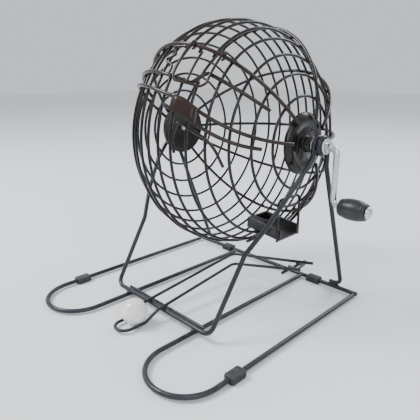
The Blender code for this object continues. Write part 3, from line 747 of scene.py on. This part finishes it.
# ---- selector ------------------------------------------------------------------------
def make_gate_plate():
    """A pressed plate over the two channel rails, with a raised panel and a rounded rim."""
    columns, rows = 24, 16
    grid = []
    for side in (0, 1):
        for row in range(rows + 1):
            for column in range(columns + 1):
                u, v = column / columns, row / rows
                x = PLATE_X + PLATE_LENGTH * (u - 0.5)
                low, high = channel_lower_angle(x) - 1.0, channel_upper_angle(x) + 1.0
                rim = min(u, 1 - u, v, 1 - v)
                raised = 0.0006 * min(1.0, max(0.0, (rim - 0.12) / 0.08))
                edge_drop = 0.0004 * max(0.0, 1 - rim / 0.04)
                lift = PLATE_LIFT + (PLATE_SHEET - edge_drop if side else edge_drop) + raised
                grid.append(AXLE + shell_point(x, low + (high - low) * v, lift))
    width, layer = columns + 1, (columns + 1) * (rows + 1)
    faces = []
    for row in range(rows):
        for column in range(columns):
            a = row * width + column
            quad = (a, a + 1, a + width + 1, a + width)
            faces.append(quad[::-1])
            faces.append(tuple(index + layer for index in quad))
    border = list(range(width))
    border += [row * width + columns for row in range(1, rows + 1)]
    border += [rows * width + c for c in range(columns - 1, -1, -1)]
    border += [row * width for row in range(rows - 1, 0, -1)]
    for first, second in zip(border, border[1:] + border[:1]):
        faces.append((first, second, second + layer, first + layer))
    mesh = outward_mesh("gate_plate_pressing", grid, faces)
    add_mesh_piece("gate_plate_pressing", mesh, HATCH_ENAMEL, "drum", "gate_plate")


def make_scoop():
    """The bent wire below the gate plate, and the two rails beside the mouth."""
    spine = smooth_path([(x, angle / 1000, 0.0) for x, angle in SCOOP_KNOTS], 12)
    points = [shell_point(p.x, p.y * 1000, HOOP_WIRE + 0.0013) for p in spine]
    wire("scoop_bent_wire", on_drum(points), SCOOP_WIRE, DRUM_ENAMEL, "drum", ["scoop_wire"])
    start, end = MOUTH_RAIL_X
    for name, side in (("mouth_rail_front", 1), ("mouth_rail_rear", -1)):
        points = []
        for step in range(33):
            x = start + (end - start) * step / 32
            half = degrees(asin((MOUTH_HALF_WIDTH + 0.0032) / shell_radius(x)))
            points.append(shell_point(x, -90 + side * half, RIB_LIFT - 0.0002))
        wire(name + "_wire", on_drum(points), MOUTH_RAIL_WIRE, DRUM_ENAMEL, "drum", [name])


def box_solid(low, high, bevel_width, segments=3):
    """A box with rounded edges, as a bmesh."""
    shape = bmesh.new()
    low, high = Vector(low), Vector(high)
    place = Matrix.Translation((low + high) / 2) @ Matrix.Diagonal((*(high - low), 1.0))
    bmesh.ops.create_cube(shape, size=1.0, matrix=place)
    bmesh.ops.bevel(shape, geom=shape.edges[:], offset=bevel_width, segments=segments,
                    affect="EDGES", profile=0.5)
    return shape


def make_tray():
    """The moulded channel: a floor, two sides and an inner end, with a rim and three ribs below."""
    half = TRAY_SIZE / 2
    low, high = -half + Vector((0, 0, 0.0008)), half
    walls = [
        ((low.x, low.y, low.z), (high.x, high.y, low.z + TRAY_WALL)),
        ((low.x, low.y, low.z), (high.x, low.y + TRAY_WALL, high.z)),
        ((low.x, high.y - TRAY_WALL, low.z), (high.x, high.y, high.z)),
        ((low.x, low.y, low.z), (low.x + TRAY_WALL, high.y, high.z)),
    ]
    for share in (0.2, 0.5, 0.8):
        x = low.x + (high.x - low.x) * share
        walls.append(((x - TRAY_RIB / 2, low.y + 0.002, -half.z),
                      (x + TRAY_RIB / 2, high.y - 0.002, low.z + 0.001)))
    place = Matrix.Translation(AXLE + TRAY_CENTRE) @ Matrix.Rotation(radians(TRAY_SLOPE), 4, "Y")
    whole = bmesh.new()
    for wall_low, wall_high in walls:
        part = box_solid(wall_low, wall_high, 0.00045)
        piece = bpy.data.meshes.new("tray_wall")
        part.to_mesh(piece)
        part.free()
        whole.from_mesh(piece)
        bpy.data.meshes.remove(piece)
    bmesh.ops.transform(whole, matrix=place, verts=whole.verts[:])
    mesh = bpy.data.meshes.new("selector_tray_moulding")
    whole.to_mesh(mesh)
    whole.free()
    add_mesh_piece("selector_tray_moulding", mesh, BLACK_PLASTIC, "drum", "selector_tray")


def make_stirrup():
    """A wire hung inside the last but one hoop, which carries the tray's outer end."""
    side = TRAY_SIZE.y / 2 + 0.0016
    foot, top = STIRRUP_Z
    corners = [(STIRRUP_X, -side, foot), (STIRRUP_X, -side, top),
               (STIRRUP_X, side, top), (STIRRUP_X, side, foot)]
    path = on_drum(bent_path(corners, 0.005))
    wire("tray_stirrup_wire", path, HOOP_WIRE, DRUM_ENAMEL, "drum", ["tray_stirrup"])


# ---- hubs, shaft ends and crank ------------------------------------------------------
def make_hubs():
    """Dished end plates with a rolled rim, a pressed ring and a boss with a chamfer."""
    hole, inner = SHAFT_RADIUS + SHAFT_CLEARANCE, HUB_FACE_X - HUB_THICKNESS
    face, rim, boss = HUB_FACE_X, HUB_RADIUS, BOSS_RADIUS
    back = [(inner, hole), (inner, rim - 0.0046), (inner - 0.0004, rim - 0.0040),
            (inner - 0.0019, rim - 0.0004), (inner - 0.0016, rim)]
    dish = [(face - 0.0024, rim), (face - 0.0019, rim - 0.0003), (face - 0.0004, rim - 0.0036),
            (face, rim - 0.0044)]
    pressed_ring = [(face, rim - 0.0100), (face - 0.0005, rim - 0.0106), (face - 0.0005, rim - 0.0124),
                    (face, rim - 0.0130)]
    boss_outline = [(face, boss + 0.0008), (face + 0.0003, boss + 0.0002), (face + 0.0009, boss),
                    (BOSS_END_X - 0.0006, boss), (BOSS_END_X, boss - 0.0006), (BOSS_END_X, hole)]
    profile = back + dish + pressed_ring + boss_outline
    for name, side in (("hub_left", -1), ("hub_right", 1)):
        verts, faces = turned([(side * x, radius) for x, radius in profile], AXLE, 80)
        add_piece(name + "_plate", verts, faces, DRUM_ENAMEL, "drum", name)


def make_shaft():
    inner = HUB_FACE_X - HUB_THICKNESS - 0.003
    start, end, chamfer = -AXLE_STUB_END_X, -inner, 0.0006
    profile = [(start, 0.0), (start, SHAFT_RADIUS - chamfer), (start + chamfer, SHAFT_RADIUS),
               (end - chamfer, SHAFT_RADIUS), (end, SHAFT_RADIUS - chamfer), (end, 0.0)]
    verts, faces = turned(profile, AXLE, 40)
    add_piece("axle_stub_pin", verts, faces, STEEL, "drum", "axle_stub_left")
    crank = bent_path([(inner, 0, 0), (CRANK_X, 0, 0), (CRANK_X, 0, -CRANK_THROW),
                       (CRANK_END_X - 0.002, 0, -CRANK_THROW)], 0.006, 14)
    wire("crank_bent_rod", on_drum(crank), SHAFT_RADIUS, STEEL, "drum", ["crank_rod"], 28)


def make_spring_clips():
    """Flat spring clips, open at one side, pushed on outside the bearings."""
    steps = 56
    turns = [radians(RING_SPREAD * (2 * step / steps - 1)) for step in range(steps + 1)]
    outline = [(0.0052 - 0.0003 * cos(4 * turn), turn) for turn in turns]
    outline += [(0.0031 - 0.0005 * cos(3 * turn), turn) for turn in turns[::-1]]
    count = len(outline)
    for name, start in RING_X.items():
        verts = []
        for x in (start + 0.0003, start + 0.0013):
            for radius, turn in outline:
                verts.append(AXLE + Vector((x, radius * sin(turn), radius * cos(turn))))
        faces = [tuple(range(count))[::-1], tuple(range(count, 2 * count))]
        for here in range(count):
            after = (here + 1) % count
            faces.append((here, after, after + count, here + count))
        add_mesh_piece(name + "_clip", outward_mesh(name + "_clip", verts, faces), STEEL, "drum", name)


def make_grip():
    """The turned barrel grip with two rings of grooves, and the domed cap that keeps it on."""
    pin = AXLE + Vector((0, 0, -CRANK_THROW))
    cap = CRANK_END_X - CAP_LENGTH
    hole, start = SHAFT_RADIUS + KNOB_CLEARANCE, cap - 0.0005 - KNOB_LENGTH
    outer = []
    for step in range(61):
        t = step / 60
        radius = KNOB_RADIUS * (0.74 + 0.26 * sin(pi * t) ** 0.7)
        for groove in (0.14, 0.20, 0.80, 0.86):
            radius -= 0.00045 * exp(-((t - groove) / 0.012) ** 2)
        if t in (0.0, 1.0):
            radius -= 0.0007
        outer.append((start + KNOB_LENGTH * t, radius))
    verts, faces = turned([(start, hole)] + outer + [(start + KNOB_LENGTH, hole)], pin, 64)
    add_piece("crank_grip", verts, faces, BLACK_PLASTIC, "grip", "crank_knob")
    dome = [(cap, 0.0), (cap, CAP_RADIUS - 0.0004), (cap + 0.0003, CAP_RADIUS)]
    for step in range(9):
        turn = radians(10 * step)
        dome.append((cap + 0.0006 + 0.0029 * sin(turn), CAP_RADIUS * cos(turn)))
    dome.append((cap + CAP_LENGTH, 0.0))
    verts, faces = turned(dome, pin, 48)
    add_piece("grip_cap_dome", verts, faces, STEEL, "drum", "knob_cap")


# ---- stand ---------------------------------------------------------------------------
def stand_wire(name, node_name, path, radius=STAND_WIRE, sides=18):
    wire(name, on_table(path), radius, STAND_ENAMEL, "stand", [node_name], sides)


def make_base():
    bend = (OUTER_RAIL_X - INNER_RAIL_X) / 2
    rail_end = REAR_BAR_Y - 2 * STAND_WIRE
    for name, side in (("base_loop_left", -1), ("base_loop_right", 1)):
        middle = side * (OUTER_RAIL_X + INNER_RAIL_X) / 2
        path = [Vector((side * INNER_RAIL_X, rail_end, BASE_Z))]
        for step in range(41):
            angle = pi * step / 40
            path.append(Vector((middle - side * bend * cos(angle),
                                LOOP_FRONT_Y + bend - bend * sin(angle), BASE_Z)))
        path.append(Vector((side * OUTER_RAIL_X, rail_end, BASE_Z)))
        stand_wire(name + "_rod", name, path)
    end = OUTER_RAIL_X + STAND_WIRE
    bar = [(-end + 2 * end * step / 8, REAR_BAR_Y, BASE_Z) for step in range(9)]
    stand_wire("rear_crossbar_rod", "rear_crossbar", bar)


def eye_points(x, side):
    """An open eye about the bush. It starts on the leg's side and runs over the top."""
    points = []
    for step in range(37):
        angle = radians(250 * step / 36)
        points.append(Vector((x, -side * EYE_RADIUS * cos(angle),
                              AXLE_HEIGHT + EYE_RADIUS * sin(angle))))
    return points


def front_leg(side):
    """One front leg, from the crossbar's end up to its eye at the bush."""
    corners = [(CROSSBAR_X, CROSSBAR_Y, ON_BASE_Z), *LEG_BENDS,
               (FRONT_EYE_X, -EYE_RADIUS, 0.139), (FRONT_EYE_X, -EYE_RADIUS, AXLE_HEIGHT)]
    leg = bent_path(corners, 0.012, 8)[1:-1]
    return mirrored(leg + eye_points(FRONT_EYE_X, 1), side)


def make_front_frame():
    """The crossbar over the base loops and both front legs, bent from one rod."""
    corner = [(0.048, CROSSBAR_Y, ON_BASE_Z), (CROSSBAR_X, CROSSBAR_Y, ON_BASE_Z), LEG_BENDS[0]]
    bend = bent_path(corner, 0.008, 10)[:-1]
    path = front_leg(-1)[::-1] + mirrored(bend, -1)[::-1] + bend + front_leg(1)
    stand_wire("front_frame_rod", "front_frame", path)


def make_rear_legs():
    for name, side in (("rear_leg_left", -1), ("rear_leg_right", 1)):
        corners = [(0.078, REAR_BAR_Y, ON_BASE_Z), (0.0905, REAR_BAR_Y, ON_BASE_Z),
                   (REAR_EYE_X, EYE_RADIUS, 0.132), (REAR_EYE_X, EYE_RADIUS, AXLE_HEIGHT)]
        path = mirrored(bent_path(corners, 0.008, 8)[:-1] + eye_points(REAR_EYE_X, -1), side)
        stand_wire(name + "_rod", name, path)


def make_bushes():
    """Flanged nylon bushes, with rounded flanges and a waist inside the wire eyes."""
    bore, sleeve = SHAFT_RADIUS + SHAFT_CLEARANCE, EYE_RADIUS - STAND_WIRE - 0.0003
    start, end = FRONT_EYE_X - STAND_WIRE - 0.0004, REAR_EYE_X + STAND_WIRE + 0.0004
    near, far = start - FLANGE_WIDTH, end + FLANGE_WIDTH
    profile = [(near, bore + 0.0004), (near, FLANGE_RADIUS - 0.0005),
               (near + 0.0003, FLANGE_RADIUS), (start - 0.0003, FLANGE_RADIUS),
               (start, FLANGE_RADIUS - 0.0004), (start, sleeve),
               (end, sleeve), (end, FLANGE_RADIUS - 0.0004),
               (end + 0.0003, FLANGE_RADIUS), (far - 0.0003, FLANGE_RADIUS),
               (far, FLANGE_RADIUS - 0.0005), (far, bore + 0.0004),
               (far - 0.0004, bore), (near + 0.0004, bore)]
    for name, side in (("bearing_bush_left", -1), ("bearing_bush_right", 1)):
        verts, faces = turned([(side * x, radius) for x, radius in profile], AXLE, 64)
        add_piece(name + "_moulding", verts, faces, NYLON, "stand", name)


def make_feet():
    """Rubber sleeves round the base rod, with grooves across them and soft ends."""
    length, width, height = FOOT_SIZE
    places = {
        "foot_front_left": (-OUTER_RAIL_X, FRONT_FOOT_Y, True),
        "foot_front_right": (OUTER_RAIL_X, FRONT_FOOT_Y, True),
        "foot_rear_left": (-REAR_FOOT_X, REAR_BAR_Y, False),
        "foot_rear_right": (REAR_FOOT_X, REAR_BAR_Y, False),
    }
    stations = [(-0.5, 0.80), (-0.47, 0.92), (-0.42, 0.98), (-0.36, 1.0)]
    for groove in (-0.2, 0.0, 0.2):
        stations += [(groove - 0.045, 1.0), (groove - 0.02, 0.93),
                     (groove + 0.02, 0.93), (groove + 0.045, 1.0)]
    stations += [(0.36, 1.0), (0.42, 0.98), (0.47, 0.92), (0.5, 0.80)]
    for name, (x, y, along_y) in places.items():
        verts, sides = [], 32
        for along, inset in stations:
            for step in range(sides):
                turn = 2 * pi * step / sides
                across = copysign(abs(cos(turn)) ** 0.45, cos(turn)) * width / 2 * inset
                up = copysign(abs(sin(turn)) ** 0.45, sin(turn)) * height / 2
                if up > 0:
                    up *= inset
                place = (across, along * length) if along_y else (along * length, across)
                verts.append(TABLE + Vector((x + place[0], y + place[1], height / 2 + up)))
        faces = ring_faces(len(stations), sides)
        faces += [tuple(range(sides)), tuple(range((len(stations) - 1) * sides, len(stations) * sides))]
        mesh = outward_mesh(name + "_sleeve", verts, faces)
        add_mesh_piece(name + "_sleeve", mesh, RUBBER, "stand", name)


# ---- runway --------------------------------------------------------------------------
def runway_side(side, corner_z):
    """One side of the track, from its outer end under the drum to the cradle."""
    end_x, end_z = TRACK_END
    lane = TRACK_LANE_X + side * TRACK_HALF_WIDTH
    cradle = TRACK_LANE_X + side * CRADLE_HALF_WIDTH
    corners = [(end_x, -side * TRACK_HALF_WIDTH, end_z), (lane, -side * TRACK_HALF_WIDTH, corner_z),
               (lane, CROSSBAR_Y - 0.007, TRACK_LIP_Z),
               (cradle, CRADLE_Y[0], BASE_Z), (cradle, CRADLE_Y[1], BASE_Z)]
    return bent_path(corners, 0.005, 8)


def track_z(x):
    """The height of the track's front side above the given place on its upper run."""
    end_x, end_z = TRACK_END
    corner_x = TRACK_LANE_X + TRACK_HALF_WIDTH
    return TRACK_CORNER_Z[0] + (end_z - TRACK_CORNER_Z[0]) * (x - corner_x) / (end_x - corner_x)


def make_runway():
    """The track, bent from one wire, its arm from the rear bar, and the tie over the base loops."""
    nose = []
    for step in range(1, 30):
        angle = pi * step / 30
        nose.append(Vector((TRACK_LANE_X + CRADLE_HALF_WIDTH * cos(angle),
                            CRADLE_Y[1] - CRADLE_HALF_WIDTH * sin(angle), BASE_Z)))
    path = runway_side(1, TRACK_CORNER_Z[0]) + nose + runway_side(-1, TRACK_CORNER_Z[1])[::-1]
    stand_wire("runway_track_wire", "runway_wire", path, TRACK_WIRE, 14)
    on_base = BASE_Z + STAND_WIRE + TRACK_WIRE + 0.0002
    under = track_z(SUPPORT_X) - 2 * TRACK_WIRE - 0.0002
    corners = [(0.028, REAR_BAR_Y, on_base), (0.040, REAR_BAR_Y, on_base), (0.062, 0.034, 0.027),
               (SUPPORT_X, 0.022, under), (SUPPORT_X, -0.014, under)]
    arm = bent_path(corners, 0.005)
    stand_wire("runway_support_wire", "runway_support", arm, TRACK_WIRE, 14)
    tie_end = INNER_RAIL_X + 0.006
    tie = [(-tie_end + 2 * tie_end * step / 6, TIE_BAR_Y, on_base) for step in range(7)]
    stand_wire("front_tie_wire", "front_tie_bar", tie, TRACK_WIRE, 14)


def make_stand_welds():
    """Beads where the stand's rods cross or meet."""
    on_top = BASE_Z + STAND_WIRE + 0.0001
    on_crossbar = ON_BASE_Z + STAND_WIRE + 0.0004
    under_track = track_z(SUPPORT_X) - TRACK_WIRE - 0.0001
    places = []
    for side in (-1, 1):
        places.append((side * INNER_RAIL_X, CROSSBAR_Y, on_top, 0.0026, 0.0026))
        places.append((side * INNER_RAIL_X, TIE_BAR_Y, on_top, 0.0019, 0.0024))
        places.append((side * 0.0835, REAR_BAR_Y, on_top, 0.0055, 0.0017))
        for rail in (INNER_RAIL_X, OUTER_RAIL_X):
            places.append((side * rail, REAR_BAR_Y - STAND_WIRE, BASE_Z, 0.0025, 0.0014))
        places.append((TRACK_LANE_X + side * TRACK_HALF_WIDTH, CROSSBAR_Y, on_crossbar, 0.0016, 0.0024))
        places.append((SUPPORT_X, side * TRACK_HALF_WIDTH, under_track, 0.0017, 0.0017))
    places.append((0.034, REAR_BAR_Y, on_top, 0.0045, 0.0014))
    solids = []
    for x, y, z, along, across in places:
        solids.append(bead(TABLE + Vector((x, y, z)), Vector((along, 0, 0)), Vector((0, across, 0)),
                           Vector((0, 0, 0.0011))))
    verts, faces = joined(*solids)
    add_piece("stand_weld_beads", verts, faces, STAND_ENAMEL, "stand")


def make_ball():
    """The drawn ball: two moulded halves with a fine seam and the small disc of its gate."""
    rings, segments, verts, faces = 48, 72, [], []
    for ring in range(rings + 1):
        tilt = pi * ring / rings
        for step in range(segments):
            turn = 2 * pi * step / segments
            seam = 0.00007 * exp(-((tilt - pi / 2) / 0.04) ** 2)
            gate = 0.00010 * exp(-((tilt - 0.10) / 0.03) ** 2)
            radius = BALL_RADIUS - 0.0001 + seam - gate
            out = Vector((sin(tilt) * cos(turn),
                          sin(tilt) * sin(turn), cos(tilt)))
            verts.append(out * radius)
    for ring in range(rings):
        for step in range(segments):
            after = (step + 1) % segments
            faces.append((ring * segments + step, (ring + 1) * segments + step,
                          (ring + 1) * segments + after, ring * segments + after))
    lean = Matrix.Rotation(radians(34), 3, "Y") @ Matrix.Rotation(radians(-22), 3, "X")
    placed = [BALL_CENTRE + lean @ v for v in verts]
    mesh = outward_mesh("drawn_ball_halves", placed, faces, weld=0.000002)
    add_mesh_piece("drawn_ball_halves", mesh, BALL_WHITE, "ball", "drawn_ball")


# ---- studio --------------------------------------------------------------------------
FLOOR_REACH = 4.0
CAMERA_FROM_AXLE = Vector((0.2821, -0.3039, 0.0566))
CAMERA_TURN = 45.0
CAMERA_TILT = 16.6
CAMERA_SHIFT = (-0.022, -0.016)
SENSOR_WIDTH = 36.0
VIEW_WIDTH = 0.950


def make_floor():
    corners = [(x * FLOOR_REACH, y * FLOOR_REACH, 0) for x, y in ((-1, -1), (1, -1), (1, 1), (-1, 1))]
    mesh = plain_mesh("studio_floor", on_table(corners), [(0, 1, 2, 3)])
    mesh.materials.append(floor_finish())
    obj = bpy.data.objects.new("studio_floor", mesh)
    bpy.context.scene.collection.objects.link(obj)


def area_light(name, place, size, power, colour):
    light = bpy.data.lights.new(name, "AREA")
    light.shape = "DISK"
    light.size = size
    light.energy = power
    light.color = colour
    obj = bpy.data.objects.new(name, light)
    obj.location = AXLE + Vector(place)
    obj.rotation_euler = (-Vector(place)).to_track_quat("-Z", "Y").to_euler()
    bpy.context.scene.collection.objects.link(obj)


def make_studio():
    world = bpy.data.worlds.new("studio_air")
    world.use_nodes = True
    air = world.node_tree.nodes["Background"]
    fill(world.node_tree, air, {"Color": (0.90, 0.93, 0.97), "Strength": 0.85})
    bpy.context.scene.world = world
    area_light("window_light", (-0.75, -0.70, 1.05), 0.60, 24.0, (0.94, 0.97, 1.0))
    area_light("fill_light", (1.10, -0.55, 0.55), 0.90, 6.0, (1.0, 0.98, 0.95))
    area_light("back_light", (0.25, 1.10, 0.85), 0.70, 9.0, (0.95, 0.97, 1.0))


def make_camera():
    """The camera looks along the given turn and tilt. Its frame is a little off its axis."""
    camera = bpy.data.cameras.new("camera")
    camera.sensor_width = SENSOR_WIDTH
    camera.lens = SENSOR_WIDTH / VIEW_WIDTH
    camera.shift_x, camera.shift_y = CAMERA_SHIFT
    obj = bpy.data.objects.new("camera", camera)
    obj.location = AXLE + CAMERA_FROM_AXLE
    obj.rotation_euler = (radians(90 - CAMERA_TILT), 0.0, radians(CAMERA_TURN))
    bpy.context.scene.collection.objects.link(obj)
    bpy.context.scene.camera = obj


make_hoops()
make_ribs()
make_drum_welds()
make_door()
make_gate_plate()
make_scoop()
make_tray()
make_stirrup()
make_hubs()
make_shaft()
make_spring_clips()
make_grip()
make_base()
make_front_frame()
make_rear_legs()
make_bushes()
make_feet()
make_runway()
make_stand_welds()
make_ball()
make_floor()
make_studio()
make_camera()
